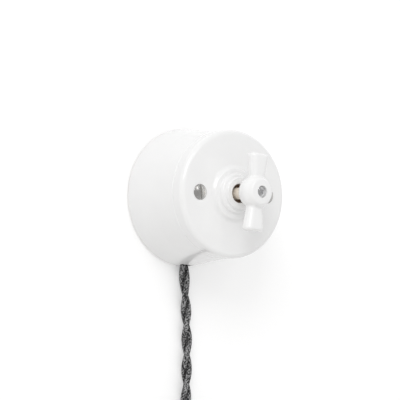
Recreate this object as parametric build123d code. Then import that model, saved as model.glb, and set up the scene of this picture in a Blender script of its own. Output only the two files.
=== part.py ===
from build123d import *
from math import cos, pi, radians, sin, tan
import os

# Surface-mounted rotary light switch of glazed porcelain, in millimetres.
# The origin is the middle of the back face, on the wall. +Z is up and the switch stands out along -Y.
# Rigid pieces are drawn as seen from the front: x to the right, y up, z out of the wall.
# The free cord is drawn in the part's own frame, where its route is given point by point.

# Base box
base_wall_radius = 36.7
base_crease_radius = 34.4
base_crease_height = 19.5
base_crease_slope = 0.09
base_neck_radius = 33.1
base_neck_slope = 0.03
base_height = 35.5
base_bore_radius = 28.0
base_floor = 5.0
base_foot_round = 0.6
base_rim_round = 0.3
bore_corner_round = 0.8
bore_draft = 0.4

# Pillars and inserts for the cover screws
cover_screw_spacing = 43.0
pillar_radius = 4.5
pillar_web = 5.0
insert_radius = 3.0
insert_length = 10.0
insert_gap = 0.05
pillar_gap = 0.3
pillar_bore_floor = 7.0

# Wall fixing holes in the floor
fixing_spacing_x = 31.0
fixing_spacing_y = 35.0
fixing_hole_radius = 2.25
fixing_sink_radius = 4.3

# Cover
cover_radius = 33.0
cover_depth = 7.9
cover_face_wall = 4.2
cover_edge_round = 2.6
spigot_depth = 2.6
spigot_wall = 2.2
spigot_gap = 0.35
spigot_round = 0.3
lid_edge_round = 0.6
lid_corner_round = 1.2
recess_round = 0.1
boss_radius = 4.4
boss_reach = 0.3

# Collar round the cover's hole, in three steps: foot radius, shoulder radius, rise and fall of its shelf
collar_steps = ((14.4, 12.9, 1.75, 0.2), (10.6, 9.9, 1.85, 0.2), (8.3, 7.95, 1.4, 0.0))
collar_foot_rounds = (2.5, 0.5, 0.3)
collar_shoulder_rounds = (0.8, 0.8, 0.45)
collar_hole_radius = 4.9
collar_hole_round = 0.5
collar_recess_radius = 8.6
collar_roof = 3.1

# Dust washer under the collar's roof
washer_thickness = 0.8
washer_fit = 0.05
washer_gap = 0.2

# Cover screws, M4 with raised countersunk head
cover_screw_radius = 1.95
cover_screw_length = 20.0
cover_screw_head_radius = 4.0
cover_screw_dome = 1.15
screw_slot_width = 1.0
screw_slot_depth = 1.2
screw_slot_turn = 96.0
screw_hole_gap = 0.25
sink_gap = 0.15
screw_tip_round = 0.4
thread_gap = 0.05

# Knob
knob_lean = -4.8
knob_back_gap = 5.1
knob_length = 13.1
knob_ball_radius = 8.4
knob_ball_height = 7.2
knob_brow_angle = 40.0
knob_front_slope = 0.2
knob_seat_end_gap = 0.6
wing_reach = 19.6
wing_root_width = 6.8
wing_root_depth = 6.0
wing_tip_width = 11.2
wing_tip_depth = 7.2
wing_corner_share = 0.42
wing_tip_round = 1.6
wing_root_start = 3.0
wing_blend = 1.6
wing_blend_reach = 0.5
knob_recess_radius = 3.0
knob_recess_lip = 0.7
knob_recess_depth = 2.5

# Knob screw, M3 with domed cross-recess head
knob_screw_radius = 1.45
knob_screw_length = 8.0
knob_screw_head_radius = 2.6
knob_screw_head_height = 1.7
knob_screw_dome = 0.5
knob_screw_flat = 1.2
cross_width = 0.7
cross_reach = 1.5
cross_depth = 1.1
cross_turn = 37.0

# Spindle
spindle_radius = 2.0
spindle_drive = 3.6
spindle_seat = 3.0
spindle_seat_length = 7.8
journal_radius = 1.5
journal_length = 1.8
running_gap = 0.05
sleeve_radius = 3.0
ring_radius = 3.6
ring_thickness = 0.7
ring_groove_radius = 1.65
ring_gap = 0.2
ring_mouth = 2.4
sleeve_gap = 0.3
sleeve_round = 0.3
seat_gap = 0.1
drive_gap = 0.02

# Mechanism body
body_radius = 17.0
body_width = 32.0
body_height = 9.0
body_round = 0.8
well_radius = 8.0
well_floor = 2.5
mechanism_screw_spacing = 25.0
mechanism_screw_radius = 1.45
mechanism_screw_head_radius = 2.75
mechanism_screw_head_height = 2.0
head_gap = 0.4
counterbore_depth = 2.6
nut_side = 5.5
nut_height = 2.2
nut_sink = 0.35
screw_end = 0.4

# Contact drum and its bridge
drum_radius = 6.4
drum_height = 6.7
drum_lift = 0.3
drive_overhang = 0.1
bridge_width = 4.4
bridge_thickness = 0.8
bridge_drop = 5.0
bridge_sink = 0.6
bridge_lug = 1.1

# Detent cam, leaf springs, front plate and its posts
cam_side = 9.0
cam_corner_round = 1.6
cam_height = 4.0
cam_lift = 1.5
leaf_thickness = 0.4
leaf_width = 3.2
leaf_lip = 1.6
leaf_end_gap = 0.15
post_spacing_x = 24.0
post_radius = 1.8
post_stud_radius = 1.2
post_stud_length = 4.5
stud_gap = 0.3
post_length = 8.0
plate_radius = 16.4
plate_thickness = 3.0
plate_round = 0.6
plate_low_edge = 9.4
bush_radius = 3.2
bush_flange_radius = 4.4
bush_flange_height = 0.7
plate_screw_head_radius = 2.2
plate_screw_head_height = 1.6
plate_screw_radius = 1.15
plate_screw_length = 7.5
plate_screw_round = 0.5
tap_gap = 0.5
plate_screw_turn = 30.0
small_slot_width = 0.75
small_slot_depth = 0.7

# Terminals and contact blades
terminal_x = 6.6
terminal_width = 5.4
terminal_length = 5.6
terminal_height = 6.8
terminal_outer_y = -14.0
terminal_wire_height = 7.0
terminal_lift = 2.05
terminal_wire_radius = 1.3
terminal_screw_radius = 1.5
terminal_screw_head_radius = 2.3
terminal_screw_head_height = 1.9
terminal_screw_rise = 0.5
terminal_screw_turn = 20.0
terminal_round = 0.5
pocket_gap = 0.15
blade_thickness = 0.5
blade_height = 4.5
blade_low = 3.2
blade_foot = (2.0, 2.6)
blade_bend = (2.2, -4.6)
blade_tip = (1.2, 2.9)
blade_rounds = [0.8, 2.5, 1.2]
blade_slot_x = 10.0
blade_slot_y = 4.5

# Cord, its groove in the back and its clamp
cord_radius = 2.85
core_radius = 1.3
core_offset = 1.42
core_gap = 0.1
core_rise = [(0.0, 1.1, 0.0), (0.03, 1.8, 2.7), (0.60, 2.3, 6.2)]
core_straight = 2.7
conductor_radius = 0.55
conductor_length = 4.6
groove_x = -2.2
groove_width = 6.6
groove_depth = 6.6
groove_end_y = -19.5
clamp_length = 12.0
clamp_width = 3.6
clamp_y = -24.0
clamp_lift = 0.3
clamp_height = 2.8
clamp_gap = 0.1
clamp_round = 0.8
clamp_hole_floor = 1.2
clamp_screw_low = 1.5
clamp_screw_turn = 50.0
clamp_screw_spacing = 9.2
clamp_screw_radius = 1.2
clamp_screw_head_radius = 2.0
clamp_screw_head_height = 1.5

# Route of the free cord, in the part's own frame: out of the box, down the wall and into the coil
cord_route = [
    (-2.2, -3.05, -21.8),
    (-2.5, -3.05, -33.0),
    (-1.9, -3.05, -44.0),
    (-0.6, -3.05, -60.0),
    (0.1, -3.05, -78.0),
    (-0.1, -3.15, -94.0),
    (-0.3, -3.35, -108.2),
    (-4.2, -3.65, -118.5),
    (-11.4, -3.95, -126.8),
    (-17.9, -4.05, -130.4),
]
arc_share = 0.45
coil_x = -1.5
coil_z = -160.0
coil_turn_radius = 31.0
coil_wall_gap = 1.2
coil_corner_round = 2.8
tie_angle = 58.0
tie_width = 4.0
tie_thickness = 0.8
tie_gap = 0.2
tail_angle = 100.0
tail_lengths = (9.0, 10.0, 8.0)
tail_turns = (5.0, 6.0)
tail_lift = 0.4
tail_core_start = 0.3
tail_core_length = 9.0
tail_core_spread = 14.0
tail_conductor_length = 8.0

# Heights above the wall that follow from the sizes
face_height = base_height + cover_depth
collar_height = face_height + sum(rise for _, _, rise, _ in collar_steps)
roof_height = collar_height - collar_roof
boss_low = base_height - spigot_depth - boss_reach
pillar_top = boss_low - pillar_gap
body_top = base_floor + body_height
well_height = base_floor + well_floor
cam_height_start = body_top + cam_lift
plate_height = body_top + post_length
plate_front = plate_height + plate_thickness
ring_height = plate_front + bush_flange_height + ring_gap
sleeve_start = ring_height + ring_thickness + sleeve_gap
knob_back = collar_height + knob_back_gap
knob_front = knob_back + knob_length
recess_floor = knob_front - knob_recess_depth
seat_start = knob_back - seat_gap
seat_end = seat_start + spindle_seat_length
drive_hole = spindle_drive + 2 * drive_gap
leaf_y = cam_side / 2 + running_gap + leaf_thickness / 2
post_y = leaf_y + leaf_thickness / 2 + post_radius
wire_height = base_floor + terminal_wire_height
terminal_bottom = base_floor + terminal_lift
coil_depth_y = -(coil_wall_gap + 2 * cord_radius)

on_wall = Plane(origin=(0, 0, 0), x_dir=(1, 0, 0), z_dir=(0, -1, 0)).location


def turned(corners):
    """A solid turned about the spindle line. Each corner is (radius, height, rounding)."""
    points = [(r, z) for r, z, _ in corners]
    rounds = [rounding for _, _, rounding in corners]
    outline = FilletPolyline(*points, radius=rounds, close=True)
    return revolve(Plane.XZ * make_face(outline), Axis.Z)


def rod(radius, low, high, x=0.0, y=0.0):
    """A round rod along z between two heights."""
    return Pos(x, y, low) * Cylinder(radius, high - low, align=(Align.CENTER, Align.CENTER, Align.MIN))


def block(x0, x1, y0, y1, z0, z1):
    """A block between two corners."""
    size = Box(x1 - x0, y1 - y0, z1 - z0, align=(Align.MIN, Align.MIN, Align.MIN))
    return Pos(x0, y0, z0) * size


def square_bar(side, low, high):
    """A square bar along the spindle line."""
    return Pos(0, 0, low) * Box(side, side, high - low, align=(Align.CENTER, Align.CENTER, Align.MIN))


def slot_cut(head_radius):
    """The cut that makes a small screw's slot, to be put at the top of its head."""
    return Box(3 * head_radius, small_slot_width, 2 * small_slot_depth)


def together(shapes):
    """Several separate solids of one node."""
    return Compound([solid for shape in shapes for solid in shape.solids()])


def wall_box():
    """Deep round box: tapered outside, straight bore, pillars, fixing holes and the cord's groove."""
    edge = Polyline((0, 0), (base_wall_radius, 0), (base_crease_radius, base_crease_height))
    belly = Spline(
        (base_crease_radius, base_crease_height),
        (base_neck_radius, base_height),
        tangents=((-base_crease_slope, 1), (-base_neck_slope, 1)),
    )
    rim = Polyline((base_neck_radius, base_height), (0, base_height), (0, 0))
    box = revolve(Plane.XZ * make_face(edge + belly + rim), Axis.Z)
    box = fillet(box.edges().filter_by(GeomType.CIRCLE).sort_by(Axis.Z)[0], base_foot_round)
    box = fillet(box.edges().filter_by(GeomType.CIRCLE).sort_by(Axis.Z)[-1], base_rim_round)
    bore = turned([
        (0, base_floor, 0),
        (base_bore_radius - bore_draft, base_floor, bore_corner_round),
        (base_bore_radius, base_height + 1, 0),
        (0, base_height + 1, 0),
    ])
    box -= bore
    for side in (-1, 1):
        x = side * cover_screw_spacing / 2
        outer = side * (base_bore_radius + 1)
        near, far = sorted((x, outer))
        web = block(near, far, -pillar_web / 2, pillar_web / 2, base_floor - 1, pillar_top)
        box += rod(pillar_radius, base_floor - 1, pillar_top, x) + web
        box -= rod(insert_radius + insert_gap, pillar_top - insert_length, pillar_top + 1, x)
        box -= rod(cover_screw_radius + screw_hole_gap, pillar_bore_floor, pillar_top, x)
    sink = fixing_sink_radius - fixing_hole_radius
    for x in (-fixing_spacing_x / 2, fixing_spacing_x / 2):
        for y in (-fixing_spacing_y / 2, fixing_spacing_y / 2):
            box -= rod(fixing_hole_radius, -1, base_floor + 1, x, y)
            cone = Cone(fixing_hole_radius, fixing_sink_radius, sink)
            box -= Pos(x, y, base_floor - sink / 2) * cone
    for y in (-mechanism_screw_spacing / 2, mechanism_screw_spacing / 2):
        box -= rod(mechanism_screw_radius + screw_hole_gap, -1, base_floor + 1, 0, y)
        box -= rod(mechanism_screw_head_radius + head_gap, -1, counterbore_depth, 0, y)
    for side in (-1, 1):
        x = groove_x + side * clamp_screw_spacing / 2
        box -= rod(clamp_screw_radius + thread_gap, clamp_hole_floor, base_floor + 1, x, clamp_y)
    half = groove_width / 2
    outside = -base_wall_radius - 1
    groove = block(groove_x - half, groove_x + half, outside, groove_end_y, -1, groove_depth)
    groove += rod(half, -1, groove_depth, groove_x, groove_end_y)
    return box - groove


def cover():
    """Shallow lid: rounded front edge, stepped collar with the spindle's hole, and a locating spigot."""
    spigot_outer = base_bore_radius - spigot_gap
    spigot_inner = spigot_outer - spigot_wall
    spigot_end = base_height - spigot_depth
    inside = face_height - cover_face_wall
    outline = [
        (collar_hole_radius, roof_height, 0),
        (collar_recess_radius, roof_height, recess_round),
        (collar_recess_radius, inside, lid_edge_round),
        (spigot_inner, inside, lid_corner_round),
        (spigot_inner, spigot_end, spigot_round),
        (spigot_outer, spigot_end, spigot_round),
        (spigot_outer, base_height, 0),
        (cover_radius, base_height, base_rim_round),
        (cover_radius, face_height, cover_edge_round),
    ]
    height = face_height
    for step, foot_round, shoulder_round in zip(collar_steps, collar_foot_rounds, collar_shoulder_rounds):
        foot, shoulder, rise, fall = step
        outline.append((foot, height, foot_round))
        height += rise
        outline.append((shoulder, height - fall, shoulder_round))
    outline.append((collar_hole_radius, height, collar_hole_round))
    lid = turned(outline)
    sink = cover_screw_head_radius - cover_screw_radius
    for side in (-1, 1):
        x = side * cover_screw_spacing / 2
        lid += rod(boss_radius, boss_low, inside + 1, x)
    for side in (-1, 1):
        x = side * cover_screw_spacing / 2
        lid -= rod(cover_screw_radius + screw_hole_gap, boss_low - 1, face_height + 1, x)
        seat = Cone(cover_screw_radius + sink_gap, cover_screw_head_radius + sink_gap, sink)
        lid -= Pos(x, 0, face_height - sink / 2) * seat
    return lid


def dust_washer():
    """Brown fibre washer pressed into the collar from behind: it closes the hole round the sleeve."""
    top = roof_height - washer_fit
    washer = rod(collar_recess_radius - washer_fit, top - washer_thickness, top)
    return washer - rod(sleeve_radius + washer_gap, top - 2, top + 1)


def cover_screw(x):
    """One raised countersunk screw with its slot."""
    sink = cover_screw_head_radius - cover_screw_radius
    dome_radius = (cover_screw_head_radius**2 + cover_screw_dome**2) / (2 * cover_screw_dome)
    low = face_height - cover_screw_length
    outline = Polyline(
        (0, low),
        (cover_screw_radius - screw_tip_round, low),
        (cover_screw_radius, low + screw_tip_round),
        (cover_screw_radius, face_height - sink),
        (cover_screw_head_radius, face_height),
    )
    head_top = face_height + cover_screw_dome
    dome = RadiusArc((cover_screw_head_radius, face_height), (0, head_top), -dome_radius)
    axis_line = Line((0, head_top), (0, low))
    screw = revolve(Plane.XZ * make_face(outline + dome + axis_line), Axis.Z)
    slot = Box(3 * cover_screw_head_radius, screw_slot_width, screw_slot_depth * 2)
    slot = Pos(0, 0, head_top) * Rot(0, 0, screw_slot_turn) * slot
    return Pos(x, 0, 0) * (screw - slot)


def cover_screws():
    """The left and right cover screws."""
    half = cover_screw_spacing / 2
    return together([cover_screw(-half), cover_screw(half)])


def cover_inserts():
    """Threaded brass inserts in the two pillars."""
    shells = []
    for side in (-1, 1):
        x = side * cover_screw_spacing / 2
        low = pillar_top - insert_length
        shell = rod(insert_radius, low, pillar_top, x)
        shells.append(shell - rod(cover_screw_radius + thread_gap, low - 1, pillar_top + 1, x))
    return together(shells)


def wing(side):
    """One flared wing of the knob, lofted from inside the hub to its tip."""
    sections = []
    for reach, width, depth in (
        (wing_root_start, wing_root_width, wing_root_depth),
        (wing_reach, wing_tip_width, wing_tip_depth),
    ):
        outline = RectangleRounded(width, depth, wing_corner_share * depth)
        across = Plane(origin=(0, side * reach, 0), x_dir=(1, 0, 0), z_dir=(0, side, 0))
        sections.append(across * outline)
    flared = loft(sections, ruled=True)
    tip = flared.faces().sort_by(Axis.Y)[-1 if side > 0 else 0]
    return fillet(tip.edges(), wing_tip_round)


def blend_wing(body, side):
    """Rounds the inner corner all round a wing, where it grows out of the hub."""
    seam = []
    for edge in body.edges().filter_by(GeomType.BSPLINE):
        ends = [corner.center() - Vector(0, 0, knob_ball_height) for corner in edge.vertices()]
        on_hub = max(end.length for end in ends) < knob_ball_radius + wing_blend_reach
        if on_hub and side * edge.center().Y > wing_root_width / 2:
            seam.append(edge)
    return fillet(seam, wing_blend)


def seat_bar(gap, low, high):
    """The squared front end of the spindle, with its corners turned off."""
    return square_bar(spindle_seat + 2 * gap, low, high) & rod(spindle_radius + gap, low, high)


def knob():
    """Butterfly knob: ball hub with two flared wings that blend into it, square seat and screw recess."""
    back, front = 0.0, knob_length
    lip = knob_recess_radius + knob_recess_lip
    back_radius = (knob_ball_radius**2 - knob_ball_height**2) ** 0.5
    brow = radians(knob_brow_angle)
    brow_radius = knob_ball_radius * cos(brow)
    brow_height = knob_ball_height + knob_ball_radius * sin(brow)
    ball = ThreePointArc((back_radius, back), (knob_ball_radius, knob_ball_height), (brow_radius, brow_height))
    face = Spline(
        (brow_radius, brow_height),
        (lip, front),
        tangents=((-sin(brow), cos(brow)), (-1, knob_front_slope)),
    )
    closing = Polyline((lip, front), (0, front), (0, back), (back_radius, back))
    body = revolve(Plane.XZ * make_face(ball + face + closing), Axis.Z)
    for side in (-1, 1):
        body += Pos(0, 0, knob_ball_height) * wing(side)
    for side in (-1, 1):
        body = blend_wing(body, side)
    body -= rod(knob_recess_radius, front - knob_recess_depth, front + 2)
    body -= rod(knob_screw_radius + screw_hole_gap, back, front)
    body -= seat_bar(running_gap, back - 1, back + spindle_seat_length + knob_seat_end_gap)
    return Pos(0, 0, knob_back) * Rot(0, 0, knob_lean) * body


def knob_screw():
    """Domed screw with a cross recess, in the hub's front."""
    under = recess_floor + running_gap
    head_top = under + knob_screw_head_height
    screw = turned([
        (0, under - knob_screw_length, 0),
        (knob_screw_radius, under - knob_screw_length, screw_tip_round),
        (knob_screw_radius, under, 0),
        (knob_screw_head_radius, under, 0),
        (knob_screw_head_radius, head_top - knob_screw_dome, knob_screw_dome),
        (knob_screw_flat, head_top, knob_screw_dome),
        (0, head_top, 0),
    ])
    cross = Box(2 * cross_reach, cross_width, 2 * cross_depth)
    cross += Box(cross_width, 2 * cross_reach, 2 * cross_depth)
    return screw - Pos(0, 0, head_top) * Rot(0, 0, cross_turn) * cross


def spindle():
    """Turned spindle: journal, square drive for drum and cam, ring groove and squared front end."""
    drive_low = well_height + drum_lift - drive_overhang
    drive_high = cam_height_start + cam_height + drive_overhang
    shaft = rod(journal_radius, drive_low - journal_length, drive_low)
    shaft += square_bar(spindle_drive, drive_low, drive_high)
    shaft += rod(spindle_radius, drive_high, seat_start)
    shaft += Rot(0, 0, knob_lean) * seat_bar(0, seat_start, seat_end)
    ring_top = ring_height + ring_thickness
    groove = rod(spindle_radius + 1, ring_height - running_gap, ring_top + running_gap)
    groove -= rod(ring_groove_radius, ring_height - 1, ring_top + 1)
    tapped = rod(knob_screw_radius + thread_gap, recess_floor - knob_screw_length - 1, seat_end + 1)
    return shaft - groove - tapped


def spindle_sleeve():
    """Cream insulating sleeve on the spindle, between the retaining ring and the knob."""
    top = knob_back - running_gap
    return turned([
        (spindle_radius + running_gap, sleeve_start, 0),
        (sleeve_radius, sleeve_start, sleeve_round),
        (sleeve_radius, top, sleeve_round),
        (spindle_radius + running_gap, top, 0),
    ])


def retaining_ring():
    """Open spring ring in the spindle's groove."""
    top = ring_height + ring_thickness
    ring = rod(ring_radius, ring_height, top)
    ring -= rod(ring_groove_radius + drive_gap, ring_height - 1, top + 1)
    mouth = block(0, ring_radius + 1, -ring_mouth / 2, ring_mouth / 2, ring_height - 1, top + 1)
    return ring - mouth


def mechanism_body():
    """Insulating body: flats beside the pillars, drum well, blade slots and terminal pockets."""
    body = turned([
        (0, base_floor, 0),
        (body_radius, base_floor, 0),
        (body_radius, body_top, body_round),
        (0, body_top, 0),
    ])
    body &= block(-body_width / 2, body_width / 2, -body_radius, body_radius, base_floor, body_top)
    body -= rod(well_radius, well_height, body_top + 1)
    body -= rod(journal_radius + running_gap, well_height - journal_length, well_height + 1)
    half = terminal_width / 2 + pocket_gap
    inner = terminal_outer_y + terminal_length + pocket_gap
    for side in (-1, 1):
        x = side * terminal_x
        body -= block(x - half, x + half, -body_radius - 1, inner, terminal_bottom, body_top + 1)
        near, far = sorted((side * (terminal_x - half), side * blade_slot_x))
        body -= block(near, far, inner - pocket_gap, blade_slot_y, well_height, body_top + 1)
    for y in (-mechanism_screw_spacing / 2, mechanism_screw_spacing / 2):
        body -= rod(mechanism_screw_radius + screw_hole_gap, base_floor - 1, body_top + 1, 0, y)
        pocket = nut_side + 2 * pocket_gap
        low = body_top - nut_height - nut_sink - running_gap
        body -= block(-pocket / 2, pocket / 2, y - pocket / 2, y + pocket / 2, low, body_top + 1)
    for x, y in post_places():
        stud_low = body_top - post_stud_length - stud_gap
        body -= rod(post_stud_radius + thread_gap, stud_low, body_top + 1, x, y)
    return body


def post_places():
    """Centres of the four posts, outside the leaf springs."""
    return [(sx * post_spacing_x / 2, sy * post_y) for sx in (-1, 1) for sy in (-1, 1)]


def mechanism_screws():
    """Two screws from the back, through floor and body, into the nuts."""
    screws = []
    for y in (-mechanism_screw_spacing / 2, mechanism_screw_spacing / 2):
        head_top = counterbore_depth - running_gap
        head = rod(mechanism_screw_head_radius, head_top - mechanism_screw_head_height, head_top, 0, y)
        screw = head + rod(mechanism_screw_radius, head_top - 1, body_top + screw_end, 0, y)
        slot = slot_cut(mechanism_screw_head_radius)
        screws.append(screw - Pos(0, y, head_top - mechanism_screw_head_height) * slot)
    return together(screws)


def mechanism_nuts():
    """Two square nuts in the body's front pockets."""
    nuts = []
    for y in (-mechanism_screw_spacing / 2, mechanism_screw_spacing / 2):
        low = body_top - nut_height - nut_sink
        nut = Pos(0, y, 0) * square_bar(nut_side, low, low + nut_height)
        nuts.append(nut - rod(mechanism_screw_radius + thread_gap, low - 1, body_top + 1, 0, y))
    return together(nuts)


def bridge_shape():
    """Brass bar over the drum's front with a lug set flush in each side of the drum."""
    top = well_height + drum_lift + drum_height - bridge_sink
    half = bridge_width / 2
    shape = block(-drum_radius, drum_radius, -half, half, top - bridge_thickness, top)
    for side in (-1, 1):
        near, far = sorted((side * (drum_radius - bridge_lug), side * drum_radius))
        shape += block(near, far, -half, half, top - bridge_drop, top)
    return shape


def drum_bridge():
    """The bridge, turned to the drum's radius, with the spindle's square hole."""
    low, high = well_height, body_top + 2
    return (bridge_shape() & rod(drum_radius, low, high)) - square_bar(drive_hole, low, high)


def contact_drum():
    """Insulating drum that carries the bridge, with the spindle's square hole."""
    low = well_height + drum_lift
    drum = rod(drum_radius, low, low + drum_height)
    return drum - bridge_shape() - square_bar(drive_hole, low - 1, low + drum_height + 1)


def detent_cam():
    """Square cam with rounded corners: its flats give the four positions."""
    outline = RectangleRounded(cam_side, cam_side, cam_corner_round)
    cam = Pos(0, 0, cam_height_start) * extrude(outline, cam_height)
    return cam - square_bar(drive_hole, cam_height_start - 1, cam_height_start + cam_height + 1)


def detent_springs():
    """Two straight leaf springs between cam and posts, each end bent over the outside of a post."""
    low = cam_height_start + (cam_height - leaf_width) / 2
    high = low + leaf_width
    lip_x = post_spacing_x / 2 + post_radius + leaf_end_gap
    end_x = lip_x + leaf_thickness
    leaves = []
    for side in (-1, 1):
        middle = side * leaf_y
        inner, outer = middle - leaf_thickness / 2, middle + leaf_thickness / 2
        strip = block(-end_x, end_x, inner, outer, low, high)
        y0, y1 = sorted((middle, middle + side * leaf_lip))
        for end in (-1, 1):
            x0, x1 = sorted((end * lip_x, end * end_x))
            strip += block(x0, x1, y0, y1, low, high)
        leaves.append(strip)
    return together(leaves)


def front_plate():
    """Moulded front plate: cut off below, so that the terminal screws stay in reach."""
    plate = turned([
        (0, plate_height, 0),
        (plate_radius, plate_height, 0),
        (plate_radius, plate_front, plate_round),
        (0, plate_front, 0),
    ])
    reach = plate_radius
    plate &= block(-reach, reach, -plate_low_edge, reach, plate_height, plate_front)
    plate -= rod(bush_radius + drive_gap, plate_height - 1, plate_front + 1)
    for x, y in post_places():
        plate -= rod(plate_screw_radius + screw_hole_gap, plate_height - 1, plate_front + 1, x, y)
    return plate


def spindle_bush():
    """Flanged brass bush in the front plate."""
    bush = rod(bush_radius, plate_height, plate_front)
    bush += rod(bush_flange_radius, plate_front, plate_front + bush_flange_height)
    return bush - rod(spindle_radius + running_gap, plate_height - 1, plate_front + 2)


def plate_posts():
    """Four turned posts with a stud in the body and a tapped front end."""
    posts = []
    for x, y in post_places():
        post = rod(post_radius, body_top, plate_height, x, y)
        post += rod(post_stud_radius, body_top - post_stud_length, body_top, x, y)
        low = plate_front - plate_screw_length - tap_gap
        posts.append(post - rod(plate_screw_radius + thread_gap, low, plate_height + 1, x, y))
    return together(posts)


def plate_screws():
    """Four screws that hold the front plate on its posts."""
    screws = []
    for x, y in post_places():
        head = rod(plate_screw_head_radius, plate_front, plate_front + plate_screw_head_height, x, y)
        head = fillet(head.edges().group_by(Axis.Z)[-1], plate_screw_round)
        top = plate_front + plate_screw_head_height
        slot = Pos(x, y, top) * Rot(0, 0, plate_screw_turn) * slot_cut(plate_screw_head_radius)
        shank = rod(plate_screw_radius, plate_front - plate_screw_length, plate_front, x, y)
        screws.append(head - slot + shank)
    return together(screws)


def terminals():
    """Two brass blocks with a wire hole from below and a clamp screw's hole from the front."""
    blocks = []
    inner = terminal_outer_y + terminal_length
    for side in (-1, 1):
        x = side * terminal_x
        half = terminal_width / 2
        top = terminal_bottom + terminal_height
        brass = block(x - half, x + half, terminal_outer_y, inner, terminal_bottom, top)
        brass = fillet(brass.edges().filter_by(Axis.Z), terminal_round)
        y = (terminal_outer_y + inner) / 2
        bore = Cylinder(terminal_wire_radius, terminal_length + 2)
        brass -= Pos(x, y, wire_height) * Rot(90, 0, 0) * bore
        brass -= rod(terminal_screw_radius + thread_gap, wire_height, top + 1, x, y)
        blocks.append(brass)
    return together(blocks)


def terminal_screws():
    """Clamp screws of the terminals, tightened on the bare copper."""
    screws = []
    y = terminal_outer_y + terminal_length / 2
    for side in (-1, 1):
        x = side * terminal_x
        low = wire_height + conductor_radius + running_gap
        head_low = terminal_bottom + terminal_height + terminal_screw_rise
        head = rod(terminal_screw_head_radius, head_low, head_low + terminal_screw_head_height, x, y)
        top = head_low + terminal_screw_head_height
        slot = slot_cut(terminal_screw_head_radius)
        slot = Pos(x, y, top) * Rot(0, 0, side * terminal_screw_turn) * slot
        screws.append(head - slot + rod(terminal_screw_radius, low, head_low, x, y))
    return together(screws)


def contact_blade(side):
    """Bronze contact blade: its foot lies on the terminal and its nose bears on the drum."""
    nose = drum_radius + running_gap + blade_thickness / 2
    foot_y = terminal_outer_y + terminal_length + blade_thickness / 2 + drive_gap
    points = [
        (terminal_x - blade_foot[0], foot_y),
        (terminal_x + blade_foot[1], foot_y),
        (terminal_x + blade_bend[0], blade_bend[1]),
        (nose, 0),
        (nose + blade_tip[0], blade_tip[1]),
    ]
    path = FilletPolyline(*points, radius=blade_rounds, close=False)
    low = base_floor + blade_low
    strip = Pos(0, 0, low) * extrude(trace(path, blade_thickness), blade_height)
    return strip if side > 0 else mirror(strip, Plane.YZ)


def cord_clamp():
    """Fibre bar over the cord, hollowed underneath to the cord's size."""
    low = base_floor + clamp_lift
    half = clamp_length / 2
    y0, y1 = clamp_y - clamp_width / 2, clamp_y + clamp_width / 2
    bar = block(groove_x - half, groove_x + half, y0, y1, low, low + clamp_height)
    bar = fillet(bar.edges().filter_by(Axis.Z), clamp_round)
    hollow = Cylinder(cord_radius + clamp_gap, clamp_width * 3)
    bar -= Pos(groove_x, clamp_y, -cord_route[0][1]) * Rot(90, 0, 0) * hollow
    for side in (-1, 1):
        x = groove_x + side * clamp_screw_spacing / 2
        bar -= rod(clamp_screw_radius + screw_hole_gap, low - 1, low + clamp_height + 1, x, clamp_y)
    return bar


def clamp_screws():
    """The two screws of the cord clamp."""
    low = base_floor + clamp_lift + clamp_height
    screws = []
    for side in (-1, 1):
        x = groove_x + side * clamp_screw_spacing / 2
        top = low + clamp_screw_head_height
        head = rod(clamp_screw_head_radius, low + running_gap, top, x, clamp_y)
        slot = slot_cut(clamp_screw_head_radius)
        slot = Pos(x, clamp_y, top) * Rot(0, 0, clamp_screw_turn) * slot
        screws.append(head - slot + rod(clamp_screw_radius, clamp_screw_low, low + 1, x, clamp_y))
    return together(screws)


def arc_radii(points):
    """A tangent arc for each corner, that takes up the same share of the shorter run beside it."""
    radii = []
    for before, corner, after in zip(points, points[1:], points[2:]):
        run_in = Vector(*corner) - Vector(*before)
        run_out = Vector(*after) - Vector(*corner)
        turn = run_in.get_angle(run_out)
        radii.append(arc_share * min(run_in.length, run_out.length) / tan(radians(turn / 2)))
    return radii


def tube(points, radius):
    """Round tube along straight runs joined by tangent arcs."""
    path = FilletPolyline(*points, radius=arc_radii(points))
    start = Plane(origin=path @ 0, z_dir=path % 0)
    return sweep(start * Circle(radius), path), path.length


def inner_core(side):
    """One core inside the box: from the cord's end under the clamp up to its terminal."""
    start_x = cord_route[0][0] + side * core_offset
    start_y = cord_route[0][2] + core_gap
    start_z = -cord_route[0][1]
    end_x = side * terminal_x
    spread = end_x - start_x
    points = [
        (start_x, start_y, start_z),
        *[(start_x + part * spread, start_y + up, start_z + out) for part, up, out in core_rise],
        (end_x, terminal_outer_y - core_straight, wire_height),
        (end_x, terminal_outer_y - core_gap, wire_height),
    ]
    return tube(points, core_radius)[0]


def inner_conductor(side):
    """Bare copper end of a core in its terminal."""
    copper = Cylinder(conductor_radius, conductor_length, align=(Align.CENTER, Align.CENTER, Align.MIN))
    return Pos(side * terminal_x, terminal_outer_y - core_gap / 2, wire_height) * Rot(-90, 0, 0) * copper


def on_coil(angle, radius, depth_y):
    """A point of the coil in the part's own frame; angle 0 is at the right, 90 at the top."""
    return (coil_x + radius * cos(radians(angle)), depth_y, coil_z + radius * sin(radians(angle)))


def cord_coil():
    """Outer shape of the wound cord: four turns, two beside and two on each other."""
    side = 4 * cord_radius
    section = Pos(coil_turn_radius, coil_depth_y) * RectangleRounded(side, side, coil_corner_round)
    return Pos(coil_x, 0, coil_z) * revolve(section, Axis.Y)


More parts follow.
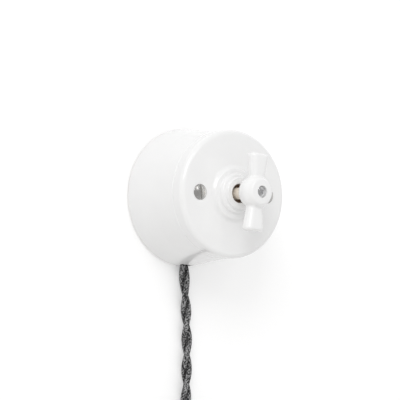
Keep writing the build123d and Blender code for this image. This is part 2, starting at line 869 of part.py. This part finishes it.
def cord_tie():
    """Band round the four turns."""
    inner = 4 * cord_radius + 2 * tie_gap
    outer = inner + 2 * tie_thickness
    band = RectangleRounded(outer, outer, coil_corner_round + tie_thickness)
    band -= RectangleRounded(inner, inner, coil_corner_round)
    angle = radians(tie_angle)
    centre = on_coil(tie_angle, coil_turn_radius, coil_depth_y)
    outwards = (cos(angle), 0, sin(angle))
    across = Plane(origin=centre, x_dir=outwards, z_dir=(-sin(angle), 0, cos(angle)))
    return extrude(across * band, tie_width / 2, both=True)


def tail_points():
    """The free end of the cord: it leaves the front outer turn along its tangent and droops."""
    turn_radius = coil_turn_radius + cord_radius
    depth_y = coil_depth_y - cord_radius
    points = [on_coil(tail_angle, turn_radius, depth_y)]
    heading = tail_angle + 90
    for index, length in enumerate(tail_lengths):
        x, y, z = points[-1]
        x += length * cos(radians(heading))
        z += length * sin(radians(heading))
        points.append((x, y - tail_lift, z))
        if index < len(tail_turns):
            heading += tail_turns[index]
    return points, heading


def tail_core(side, start, end, radius):
    """Straight round piece of one core past the cord's end, between two distances from it."""
    points, heading = tail_points()
    x, y, z = points[-1]
    along = heading + side * tail_core_spread
    sideways = heading + 90
    ox = x + side * core_offset * cos(radians(sideways))
    oz = z + side * core_offset * sin(radians(sideways))
    direction = Vector(cos(radians(along)), 0, sin(radians(along)))
    base = Vector(ox, y, oz) + direction * start
    piece = Cylinder(radius, end - start, align=(Align.CENTER, Align.CENTER, Align.MIN))
    return Plane(origin=base, z_dir=direction) * piece


def main():
    os.makedirs("parts", exist_ok=True)
    seen_from_front = {
        "wall_box": wall_box(),
        "cover": cover(),
        "dust_washer": dust_washer(),
        "cover_screws": cover_screws(),
        "cover_inserts": cover_inserts(),
        "knob": knob(),
        "knob_screw": knob_screw(),
        "spindle": spindle(),
        "spindle_sleeve": spindle_sleeve(),
        "retaining_ring": retaining_ring(),
        "mechanism_body": mechanism_body(),
        "mechanism_screws": mechanism_screws(),
        "mechanism_nuts": mechanism_nuts(),
        "contact_drum": contact_drum(),
        "drum_bridge": drum_bridge(),
        "detent_cam": detent_cam(),
        "detent_springs": detent_springs(),
        "front_plate": front_plate(),
        "spindle_bush": spindle_bush(),
        "plate_posts": plate_posts(),
        "plate_screws": plate_screws(),
        "terminals": terminals(),
        "terminal_screws": terminal_screws(),
        "left_contact": contact_blade(-1),
        "right_contact": contact_blade(1),
        "cord_clamp": cord_clamp(),
        "clamp_screws": clamp_screws(),
        "left_core": inner_core(-1),
        "right_core": inner_core(1),
        "left_conductor": inner_conductor(-1),
        "right_conductor": inner_conductor(1),
    }
    for name, shape in seen_from_front.items():
        export_step(on_wall * shape, f"parts/{name}.step")

    cord, cord_length = tube(cord_route, cord_radius)
    tail_route, _ = tail_points()
    tail, tail_length = tube(tail_route, cord_radius)
    core_end = tail_core_length
    copper_end = tail_core_length + tail_conductor_length
    bare_cores = [tail_core(side, tail_core_start, core_end, core_radius) for side in (-1, 1)]
    copper_ends = [tail_core(side, core_end, copper_end, conductor_radius) for side in (-1, 1)]
    free_cord = {
        "cord": cord,
        "cord_coil": cord_coil(),
        "cord_tie": cord_tie(),
        "cord_tail": tail,
        "tail_cores": together(bare_cores),
        "tail_conductors": together(copper_ends),
    }
    for name, shape in free_cord.items():
        export_step(shape, f"parts/{name}.step")

    section = pi * cord_radius**2
    print("cord radii", [round(radius, 1) for radius in arc_radii(cord_route)])
    print("cord volume against section times length", cord.volume / (section * cord_length))
    print("tail radii", [round(radius, 1) for radius in arc_radii(tail_route)])
    print("tail volume against section times length", tail.volume / (section * tail_length))


main()
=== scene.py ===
import math

import bpy
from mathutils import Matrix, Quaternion, Vector


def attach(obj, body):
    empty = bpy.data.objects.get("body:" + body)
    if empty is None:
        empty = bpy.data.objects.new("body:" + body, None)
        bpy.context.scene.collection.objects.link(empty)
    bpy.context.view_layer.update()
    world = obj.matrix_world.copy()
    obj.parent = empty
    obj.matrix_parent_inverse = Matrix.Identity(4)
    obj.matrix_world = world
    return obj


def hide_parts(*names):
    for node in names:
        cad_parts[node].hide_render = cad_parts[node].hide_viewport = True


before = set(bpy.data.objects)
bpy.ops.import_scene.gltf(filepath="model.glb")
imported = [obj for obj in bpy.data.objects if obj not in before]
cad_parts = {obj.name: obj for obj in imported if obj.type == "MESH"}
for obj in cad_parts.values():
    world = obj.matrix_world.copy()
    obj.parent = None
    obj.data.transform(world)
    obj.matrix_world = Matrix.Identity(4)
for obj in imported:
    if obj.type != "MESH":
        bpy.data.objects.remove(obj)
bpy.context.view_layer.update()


# Viewpoint
# A long lens looks at the switch from the left and slightly from below, a little out of level. The
# switch hangs on the wall at y = 0 and stands out towards -Y.
camera_target = Vector((0, -0.020, 0))
camera_distance = 0.8238
camera_azimuth = math.radians(-36.53)
camera_elevation = math.radians(-3.71)
camera_roll = math.radians(0.44)

camera_back = Vector((
    math.sin(camera_azimuth) * math.cos(camera_elevation),
    -math.cos(camera_azimuth) * math.cos(camera_elevation),
    math.sin(camera_elevation),
))
camera_data = bpy.data.cameras.new("viewpoint")
camera_data.lens = 141.7
camera_data.sensor_width = 36
camera_data.shift_x = -0.01751
camera_data.shift_y = -0.00999
camera_data.clip_start = 0.05
camera_data.clip_end = 20
camera = bpy.data.objects.new("viewpoint", camera_data)
bpy.context.scene.collection.objects.link(camera)
camera.location = camera_target + camera_back * camera_distance
camera.rotation_mode = "QUATERNION"
level = (-camera_back).to_track_quat("-Z", "Y")
camera.rotation_quaternion = level @ Quaternion((0, 0, 1), camera_roll)
bpy.context.scene.camera = camera


# Wall and light
# The wall is a plain white board behind the switch, where a soft shadow falls to the lower right.
# A large soft lamp stands at the upper left in front, with a weak warm one below and a small one ahead.
# The white room fills in from all sides, and its front is darker where glaze and metal mirror it.
bpy.context.scene.view_settings.view_transform = "Standard"


def add_node(tree, kind, settings=(), inputs=()):
    """A node of that kind, with settings by name and input values or links by socket name or number."""
    made = tree.nodes.new(kind)
    for name, value in dict(settings).items():
        setattr(made, name, value)
    for name, value in dict(inputs).items():
        if isinstance(value, bpy.types.NodeSocket):
            tree.links.new(value, made.inputs[name])
        else:
            made.inputs[name].default_value = value
    return made


def new_material(name):
    """An empty node material and its output node."""
    material = bpy.data.materials.new(name)
    material.use_nodes = True
    material.node_tree.nodes.clear()
    return material, material.node_tree, material.node_tree.nodes.new("ShaderNodeOutputMaterial")


def calculate(tree, operation, *values):
    """The result of a math node on numbers or links."""
    return add_node(tree, "ShaderNodeMath", {"operation": operation}, dict(enumerate(values))).outputs[0]


def remap(tree, value, from_low, from_high, to_low, to_high, kind="LINEAR"):
    """A value carried over from one range to another."""
    return add_node(tree, "ShaderNodeMapRange", {"interpolation_type": kind}, {
        "Value": value, "From Min": from_low, "From Max": from_high, "To Min": to_low, "To Max": to_high,
    }).outputs[0]


wall_size = 4
wall_behind = 0.0003
wall_colour = (0.76, 0.76, 0.76, 1)
wall_lift = 0.307
room_strength = 0.77
mirrored_front = 0.34
mirrored_sides = 0.60
front_to_sides = (-0.95, -0.1)

wall_paint, tree, output = new_material("wall_paint")
rays = add_node(tree, "ShaderNodeLightPath").outputs
seen = calculate(tree, "MAXIMUM", rays["Is Camera Ray"], rays["Is Glossy Ray"])
seen = calculate(tree, "MAXIMUM", seen, rays["Is Transmission Ray"])
lift = calculate(tree, "MULTIPLY", seen, wall_lift)
paint = add_node(tree, "ShaderNodeBsdfDiffuse", inputs={"Color": wall_colour})
glow = add_node(tree, "ShaderNodeEmission", inputs={"Strength": lift})
both = add_node(tree, "ShaderNodeAddShader", inputs={0: paint.outputs[0], 1: glow.outputs[0]})
tree.links.new(both.outputs[0], output.inputs["Surface"])

bpy.ops.object.select_all(action="DESELECT")
bpy.ops.mesh.primitive_plane_add(
    size=wall_size, location=(0, wall_behind, 0), rotation=(math.pi / 2, 0, 0))
wall = bpy.context.object
bpy.ops.object.transform_apply(location=True, rotation=True, scale=True)
wall.name = "wall"
wall.data.materials.append(wall_paint)

world = bpy.data.worlds.new("room")
world.use_nodes = True
tree = world.node_tree
rays = add_node(tree, "ShaderNodeLightPath").outputs
direction = add_node(tree, "ShaderNodeTexCoord").outputs["Generated"]
heading = add_node(tree, "ShaderNodeSeparateXYZ", inputs={0: direction}).outputs["Y"]
mirrored = remap(tree, heading, *front_to_sides, mirrored_front, mirrored_sides)
strength = add_node(tree, "ShaderNodeMix", {"data_type": "FLOAT"},
                    {0: rays["Is Glossy Ray"], 2: room_strength, 3: mirrored}).outputs[0]
strength = calculate(tree, "MAXIMUM", strength, rays["Is Camera Ray"])
tree.nodes["Background"].inputs["Color"].default_value = (1, 1, 1, 1)
tree.links.new(strength, tree.nodes["Background"].inputs["Strength"])
bpy.context.scene.world = world


lamp_aim = Vector((0, -0.020, 0))


def soft_lamp(name, place, side, watts, colour=(1, 1, 1)):
    """A square soft lamp at a place, turned towards the switch."""
    data = bpy.data.lights.new(name, "AREA")
    data.shape = "RECTANGLE"
    data.size = side
    data.size_y = side
    data.energy = watts
    data.color = colour
    lamp = bpy.data.objects.new(name, data)
    bpy.context.scene.collection.objects.link(lamp)
    lamp.location = place
    lamp.rotation_mode = "QUATERNION"
    lamp.rotation_quaternion = (lamp_aim - Vector(place)).to_track_quat("-Z", "Y")


soft_lamp("key_lamp", (-0.80, -0.98, 0.82), 0.75, 6.7)
soft_lamp("low_lamp", (-0.45, -0.45, -1.35), 0.90, 1.1, (1, 0.93, 0.84))
soft_lamp("front_lamp", (0.06, -1.07, 0.62), 0.26, 0.5)


# Cord
# A twisted pair of textile-covered cores comes out of the notch against the wall and hangs down it.
# Below the view it is wound into a small coil of four turns, and its free end is stripped.
cord_radius = 0.00285
strand_radius = 0.00150
strand_offset = 0.00133
wall_gap = 0.0012
route = [
    (-0.0022, -0.00305, -0.0218),
    (-0.0025, -0.00305, -0.0330),
    (-0.0019, -0.00305, -0.0440),
    (-0.0006, -0.00305, -0.0600),
    (0.0001, -0.00305, -0.0780),
    (-0.0001, -0.00315, -0.0940),
    (-0.0003, -0.00335, -0.1082),
    (-0.0042, -0.00365, -0.1185),
    (-0.0114, -0.00395, -0.1268),
    (-0.0179, -0.00405, -0.1304),
]
coil_centre = (-0.0015, -0.1600)
outer_turn = 0.03385
inner_turn = 0.02815
front_layer = -(wall_gap + 3 * cord_radius)
back_layer = -(wall_gap + cord_radius)
points_per_turn = 16
points_after_entry = 0.8
entry_angle = 119.0
crossing_start = 0.86
tail_angle = 100.0
tail_steps = [(0.009, 190.0), (0.010, 195.0), (0.008, 201.0)]
tail_lift = 0.0004

turns = [
    (outer_turn, back_layer),
    (inner_turn, back_layer),
    (inner_turn, front_layer),
    (outer_turn, front_layer),
]
last_angle = tail_angle + 360 * len(turns)
step = 360 / points_per_turn
angle = entry_angle + step * points_after_entry
while angle < last_angle - 0.5 * step:
    share = (angle - tail_angle) / 360
    turn = min(int(share), len(turns) - 1)
    part = share - turn
    radius, depth = turns[turn]
    if part > crossing_start and turn + 1 < len(turns):
        blend = (part - crossing_start) / (1 - crossing_start)
        blend = blend * blend * (3 - 2 * blend)
        radius += (turns[turn + 1][0] - radius) * blend
        depth += (turns[turn + 1][1] - depth) * blend
    route.append((
        coil_centre[0] + radius * math.cos(math.radians(angle)),
        depth,
        coil_centre[1] + radius * math.sin(math.radians(angle)),
    ))
    angle += step
x = coil_centre[0] + outer_turn * math.cos(math.radians(tail_angle))
y = front_layer
z = coil_centre[1] + outer_turn * math.sin(math.radians(tail_angle))
route.append((x, y, z))
for length, heading in tail_steps:
    x += length * math.cos(math.radians(heading))
    y -= tail_lift
    z += length * math.sin(math.radians(heading))
    route.append((x, y, z))

line_data = bpy.data.curves.new("cord_line", "CURVE")
line_data.dimensions = "3D"
line_data.resolution_u = 12
spline = line_data.splines.new("NURBS")
spline.points.add(len(route) - 1)
for point, place in zip(spline.points, route):
    point.co = (*place, 1)
spline.order_u = 3
spline.use_endpoint_u = True
line = bpy.data.objects.new("cord_line", line_data)
bpy.context.scene.collection.objects.link(line)
line_mesh = bpy.data.meshes.new_from_object(line)
centre_line = [vertex.co.copy() for vertex in line_mesh.vertices]
bpy.data.objects.remove(line)
bpy.data.meshes.remove(line_mesh)

along = [0.0]
for before, after in zip(centre_line, centre_line[1:]):
    along.append(along[-1] + (after - before).length)
cord_length = along[-1]

half_twist = 0.0156
first_crossing = 0.0117
first_node = 0.0147
node_angle = math.radians(37.5)
flat_angle = math.radians(90)
half_turns = round(((cord_length - first_node) / half_twist) - 0.5 + node_angle / math.pi)
end_angle = flat_angle + math.pi * (half_turns + 1)
twist_marks = [
    (0.0, flat_angle),
    (first_crossing, node_angle + math.pi),
    (first_node + half_twist, node_angle + 2 * math.pi),
    (first_node + 5 * half_twist, node_angle + 6 * math.pi),
    (cord_length, end_angle),
]


def twist_at(distance):
    """How far the pair has turned at a distance along the cord."""
    for (low, turned_low), (high, turned_high) in zip(twist_marks, twist_marks[1:]):
        if distance <= high:
            break
    return turned_low + (turned_high - turned_low) * (distance - low) / (high - low)


strand_sides = 14
ring_step = 0.0009
smoothing_rings = 2
rings = int(cord_length / ring_step)
samples = []
cursor = 0
for ring in range(rings + 1):
    distance = cord_length * ring / rings
    while cursor < len(along) - 2 and along[cursor + 1] < distance:
        cursor += 1
    share = (distance - along[cursor]) / (along[cursor + 1] - along[cursor])
    samples.append((distance, centre_line[cursor].lerp(centre_line[cursor + 1], share)))

vertices, faces, face_uvs = [], [], []
for strand in (0, 1):
    centres = []
    for number, (distance, place) in enumerate(samples):
        before = samples[max(number - smoothing_rings, 0)][1]
        after = samples[min(number + smoothing_rings, rings)][1]
        tangent = (after - before).normalized()
        outwards = Vector((0, -1, 0))
        outwards = (outwards - tangent * outwards.dot(tangent)).normalized()
        sideways = tangent.cross(outwards)
        turned = twist_at(distance) + math.pi * strand
        centres.append(place + (outwards * math.cos(turned) + sideways * math.sin(turned)) * strand_offset)
    first = len(vertices)
    for number, centre in enumerate(centres):
        tangent = (centres[min(number + 1, rings)] - centres[max(number - 1, 0)]).normalized()
        towards = samples[number][1] - centre
        towards = (towards - tangent * towards.dot(tangent)).normalized()
        across = tangent.cross(towards)
        for side in range(strand_sides):
            around = 2 * math.pi * side / strand_sides
            vertices.append(centre + (towards * math.cos(around) + across * math.sin(around)) * strand_radius)
    for number in range(rings):
        here = first + number * strand_sides
        there = here + strand_sides
        u0, u1 = samples[number][0], samples[number + 1][0]
        for side in range(strand_sides):
            other = (side + 1) % strand_sides
            faces.append((here + side, here + other, there + other, there + side))
            v0 = side / strand_sides + 2 * strand
            v1 = (side + 1) / strand_sides + 2 * strand
            face_uvs.append(((u0, v0), (u0, v1), (u1, v1), (u1, v0)))
    for cap, turned_back in ((first, True), (first + rings * strand_sides, False)):
        corners = [cap + side for side in range(strand_sides)]
        faces.append(tuple(reversed(corners)) if turned_back else tuple(corners))
        face_uvs.append(tuple((samples[0][0], 2 * strand) for _ in corners))

pair_mesh = bpy.data.meshes.new("twisted_pair")
pair_mesh.from_pydata(vertices, [], faces)
uv_map = pair_mesh.uv_layers.new(name="braid")
corner = 0
for uvs in face_uvs:
    for uv in uvs:
        uv_map.data[corner].uv = uv
        corner += 1
pair_mesh.polygons.foreach_set("use_smooth", [True] * len(pair_mesh.polygons))
pair_mesh.update()
twisted_pair = bpy.data.objects.new("twisted_pair", pair_mesh)
bpy.context.scene.collection.objects.link(twisted_pair)


def two_tone(tree, factor, low_position, low_colour, high_position, high_colour):
    """The colour of a ramp between two tones."""
    ramp = add_node(tree, "ShaderNodeValToRGB", inputs={0: factor})
    low, high = ramp.color_ramp.elements
    low.position = low_position
    low.color = (*low_colour, 1)
    high.position = high_position
    high.color = (*high_colour, 1)
    return ramp.outputs[0]


def raised(tree, height, strength, depth):
    """The surface direction of a fine relief."""
    return add_node(tree, "ShaderNodeBump", inputs={
        "Strength": strength, "Distance": depth, "Height": height,
    }).outputs[0]


def grainy(tree, place, scale, detail):
    """A cloudy pattern at that many cells to the metre."""
    return add_node(tree, "ShaderNodeTexNoise", inputs={
        "Vector": place, "Scale": scale, "Detail": detail,
    }).outputs["Fac"]


def place_of(tree):
    """The object's own coordinates."""
    return add_node(tree, "ShaderNodeTexCoord").outputs["Object"]


braid_carriers = 10
yarn_relief = 0.00012
yarn_contrast = 0.40
fleck_scale = 1250.0
fleck_contrast = 1.9
fleck_shift = -0.68
# Painted shade: how far from the crease between the two strands the braid is darkened.
crease_shade_reach = (0.14, 0.30)


def braid_material(name, dark, light, stitches, pattern_of, crease_shade=0.0):
    """Braided yarn: two families of crossing yarns over each other, each yarn with its own mottled grey.
    Towards the neighbouring strand, at whole numbers of the second coordinate, it is darkened by the given
    amount: painted shade in the crease between the strands."""
    material, tree, output = new_material(name)
    split = add_node(tree, "ShaderNodeSeparateXYZ", inputs={0: pattern_of(tree)}).outputs
    length = calculate(tree, "MULTIPLY", split[0], stitches)
    around = calculate(tree, "MULTIPLY", split[1], braid_carriers)
    yarns, crowns, shades = [], [], []
    for sign in ("ADD", "SUBTRACT"):
        yarn = calculate(tree, sign, around, length)
        whole = calculate(tree, "FLOOR", yarn)
        wave = calculate(tree, "MULTIPLY", calculate(tree, "FRACT", yarn), math.pi)
        seed = calculate(tree, "MODULO", whole, 2 * braid_carriers)
        noise = add_node(tree, "ShaderNodeTexWhiteNoise", {"noise_dimensions": "1D"}, {"W": seed})
        yarns.append(whole)
        crowns.append(calculate(tree, "SINE", wave))
        shades.append(noise.outputs["Value"])
    over = calculate(tree, "PINGPONG", calculate(tree, "ADD", *yarns), 1.0)
    height = add_node(tree, "ShaderNodeMix", {"data_type": "FLOAT"}, {0: over, 2: crowns[0], 3: crowns[1]})
    shade = add_node(tree, "ShaderNodeMix", {"data_type": "FLOAT"}, {0: over, 2: shades[0], 3: shades[1]})
    flecks = grainy(tree, place_of(tree), fleck_scale, 3.0)
    mottled = calculate(tree, "MULTIPLY_ADD", flecks, fleck_contrast, fleck_shift)
    tone = calculate(tree, "MULTIPLY_ADD", shade.outputs[0], yarn_contrast, mottled)
    # Painted shade in the crease towards the neighbouring strand.
    inwards = calculate(tree, "PINGPONG", split[1], 0.5)
    shaded = remap(tree, inwards, *crease_shade_reach, -crease_shade, 0.0, "SMOOTHSTEP")
    tone = calculate(tree, "ADD", tone, shaded)
    yarn = add_node(tree, "ShaderNodeBsdfPrincipled", inputs={
        "Base Color": two_tone(tree, tone, 0.30, dark, 0.72, light),
        "Roughness": 0.85,
        "Sheen Weight": 0.25,
        "Sheen Roughness": 0.5,
        "Specular IOR Level": 0.25,
        "Normal": raised(tree, height.outputs[0], 0.8, yarn_relief),
    })
    tree.links.new(yarn.outputs[0], output.inputs["Surface"])
    return material


def along_strand(tree):
    """Pattern along the strand's own surface and around it."""
    return add_node(tree, "ShaderNodeUVMap", {"uv_map": "braid"}).outputs[0]


# The last number is the painted shade in the crease between the two strands.
strand_braid = braid_material(
    "strand_braid", (0.010, 0.010, 0.011), (0.38, 0.38, 0.385), 900.0, along_strand, 0.25)
twisted_pair.data.materials.append(strand_braid)
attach(twisted_pair, "housing")
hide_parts("cord", "cord_coil", "cord_tail")


# Porcelain
# Box, cover and knob are white porcelain with a glossy clear glaze. A narrow band along the seam between box
# and cover is painted lighter: painted light that evens out the shade in the seam. The foot ring that lies on
# the wall is left unglazed and is a little darker.
seam_depth = -0.0355
seam_half_width = 0.0004
# Painted light: the colour of the seam band, lighter than the clay.
seam_painted_light = (0.92, 0.92, 0.92, 1)
foot_edge = (-0.0009, -0.0004)
foot_colour = (0.80, 0.78, 0.75, 1)
glazed_roughness = 0.10
bare_roughness = 0.65
peel_share = 0.015
glaze_waves = 0.0006

glaze, tree, output = new_material("white_glaze")
place = place_of(tree)
waves = grainy(tree, place, 45.0, 1.0)
peel = grainy(tree, place, 900.0, 2.0)
relief = calculate(tree, "MULTIPLY_ADD", peel, peel_share, waves)
tint = grainy(tree, place, 60.0, 4.0)
clay = two_tone(tree, tint, 0.3, (0.885, 0.884, 0.882), 0.7, (0.903, 0.903, 0.901))
depth = add_node(tree, "ShaderNodeSeparateXYZ", inputs={0: place}).outputs["Y"]
# Painted light: a narrow band along the seam is painted lighter, against the shade in the seam.
seam = calculate(tree, "COMPARE", depth, seam_depth, seam_half_width)
seam_lightened = add_node(tree, "ShaderNodeMix", {"data_type": "RGBA"}, {0: seam, 6: clay, 7: seam_painted_light})
foot = remap(tree, depth, *foot_edge, 0.0, 1.0)
bare = add_node(tree, "ShaderNodeMix", {"data_type": "RGBA"}, {0: foot, 6: seam_lightened.outputs[2], 7: foot_colour})
body = add_node(tree, "ShaderNodeBsdfPrincipled", inputs={
    "Base Color": bare.outputs[2],
    "Roughness": remap(tree, foot, 0.0, 1.0, glazed_roughness, bare_roughness),
    "IOR": 1.5,
    "Coat Weight": 0.3,
    "Coat Roughness": 0.03,
    "Normal": raised(tree, relief, 0.25, glaze_waves),
})
tree.links.new(body.outputs[0], output.inputs["Surface"])


def finish_node(name, material):
    """Puts a material on a carried-over CAD node."""
    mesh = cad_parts[name].data
    mesh.materials.clear()
    mesh.materials.append(material)


for name in ("wall_box", "cover", "knob"):
    finish_node(name, glaze)


# Metal
# The cover screws are nickel plated and domed, and the knob's screw is bright chrome. Inside, most parts
# are turned brass, springs and contacts are bronze, the cam, ring and body screws are plated steel.
scratch_scale = 1400.0
scratch_stretch = (1.0, 1.0, 6.0)
scratch_depth = 0.00003
darker_share = 0.8
roughness_spread = 0.3


def metal_material(name, colour, roughness, scratch):
    """Plated or turned metal with fine scratches that vary its roughness."""
    material, tree, output = new_material(name)
    stretch = add_node(tree, "ShaderNodeMapping", inputs={"Vector": place_of(tree), "Scale": scratch_stretch})
    grain = grainy(tree, stretch.outputs[0], scratch_scale, 4.0)
    smoothest = roughness * (1 - roughness_spread)
    roughest = roughness * (1 + roughness_spread)
    plate = add_node(tree, "ShaderNodeBsdfPrincipled", inputs={
        "Base Color": two_tone(tree, grain, 0.3, [darker_share * part for part in colour], 0.6, colour),
        "Metallic": 1.0,
        "Roughness": remap(tree, grain, 0.3, 0.7, smoothest, roughest),
        "Normal": raised(tree, grain, scratch, scratch_depth),
    })
    tree.links.new(plate.outputs[0], output.inputs["Surface"])
    return material


nickel = metal_material("nickel_plate", (0.80, 0.79, 0.77), 0.18, 1.0)
chrome = metal_material("chrome_plate", (0.95, 0.95, 0.96), 0.06, 0.1)
steel = metal_material("zinc_plate", (0.52, 0.53, 0.54), 0.35, 0.3)
brass = metal_material("turned_brass", (0.74, 0.55, 0.27), 0.28, 0.3)
bronze = metal_material("rolled_bronze", (0.68, 0.43, 0.22), 0.30, 0.3)
copper = metal_material("bare_copper", (0.80, 0.42, 0.28), 0.30, 0.5)
for name, material in {
    "cover_screws": nickel, "knob_screw": chrome, "retaining_ring": steel, "mechanism_screws": steel,
    "detent_cam": steel, "cover_inserts": brass, "spindle": brass, "mechanism_nuts": brass,
    "drum_bridge": brass, "spindle_bush": brass, "plate_posts": brass, "plate_screws": brass,
    "terminals": brass, "terminal_screws": brass, "clamp_screws": brass, "detent_springs": bronze,
    "left_contact": bronze, "right_contact": bronze, "left_conductor": copper,
    "right_conductor": copper, "tail_conductors": copper,
}.items():
    finish_node(name, material)


# Insulating parts
# The sleeve, drum and mechanism body are unglazed cream steatite, and the front plate is brown resin.
# The dust washer and the cord clamp are punched from dark brown vulcanised fibre.
def moulded_material(name, low, high, scale, roughness, grain_depth):
    """Pressed or moulded insulating material with a fine grain."""
    material, tree, output = new_material(name)
    grain = grainy(tree, place_of(tree), scale, 5.0)
    body = add_node(tree, "ShaderNodeBsdfPrincipled", inputs={
        "Base Color": two_tone(tree, grain, 0.35, low, 0.65, high),
        "Roughness": roughness,
        "Normal": raised(tree, grain, 0.5, grain_depth),
    })
    tree.links.new(body.outputs[0], output.inputs["Surface"])
    return material


steatite = moulded_material("cream_steatite", (0.78, 0.70, 0.60), (0.88, 0.80, 0.70), 700.0, 0.55, 0.00004)
resin = moulded_material("brown_resin", (0.035, 0.016, 0.009), (0.085, 0.040, 0.022), 260.0, 0.25, 0.00002)
fibre = moulded_material("brown_fibre", (0.055, 0.030, 0.017), (0.12, 0.068, 0.040), 500.0, 0.7, 0.00005)
for name, material in {
    "spindle_sleeve": steatite, "contact_drum": steatite, "mechanism_body": steatite,
    "front_plate": resin, "cord_clamp": fibre, "dust_washer": fibre,
}.items():
    finish_node(name, material)


# Core ends and tie
# Inside the box and at the free end the braid of each core is seen by itself.
# A cotton tape holds the four turns of the coil.
braids_across = (1.0, 250.0, 1.0)


def through_core(tree):
    """Pattern by place: along the core's height, and across it."""
    return add_node(tree, "ShaderNodeMapping", inputs={
        "Vector": place_of(tree), "Rotation": (0.0, math.pi / 2, 0.0), "Scale": braids_across,
    }).outputs[0]


core_braid = braid_material("core_braid", (0.012, 0.012, 0.013), (0.30, 0.30, 0.305), 900.0, through_core)
for name in ("left_core", "right_core", "tail_cores"):
    finish_node(name, core_braid)
cotton = braid_material("cotton_tape", (0.42, 0.38, 0.31), (0.70, 0.66, 0.57), 1100.0, through_core)
finish_node("cord_tie", cotton)
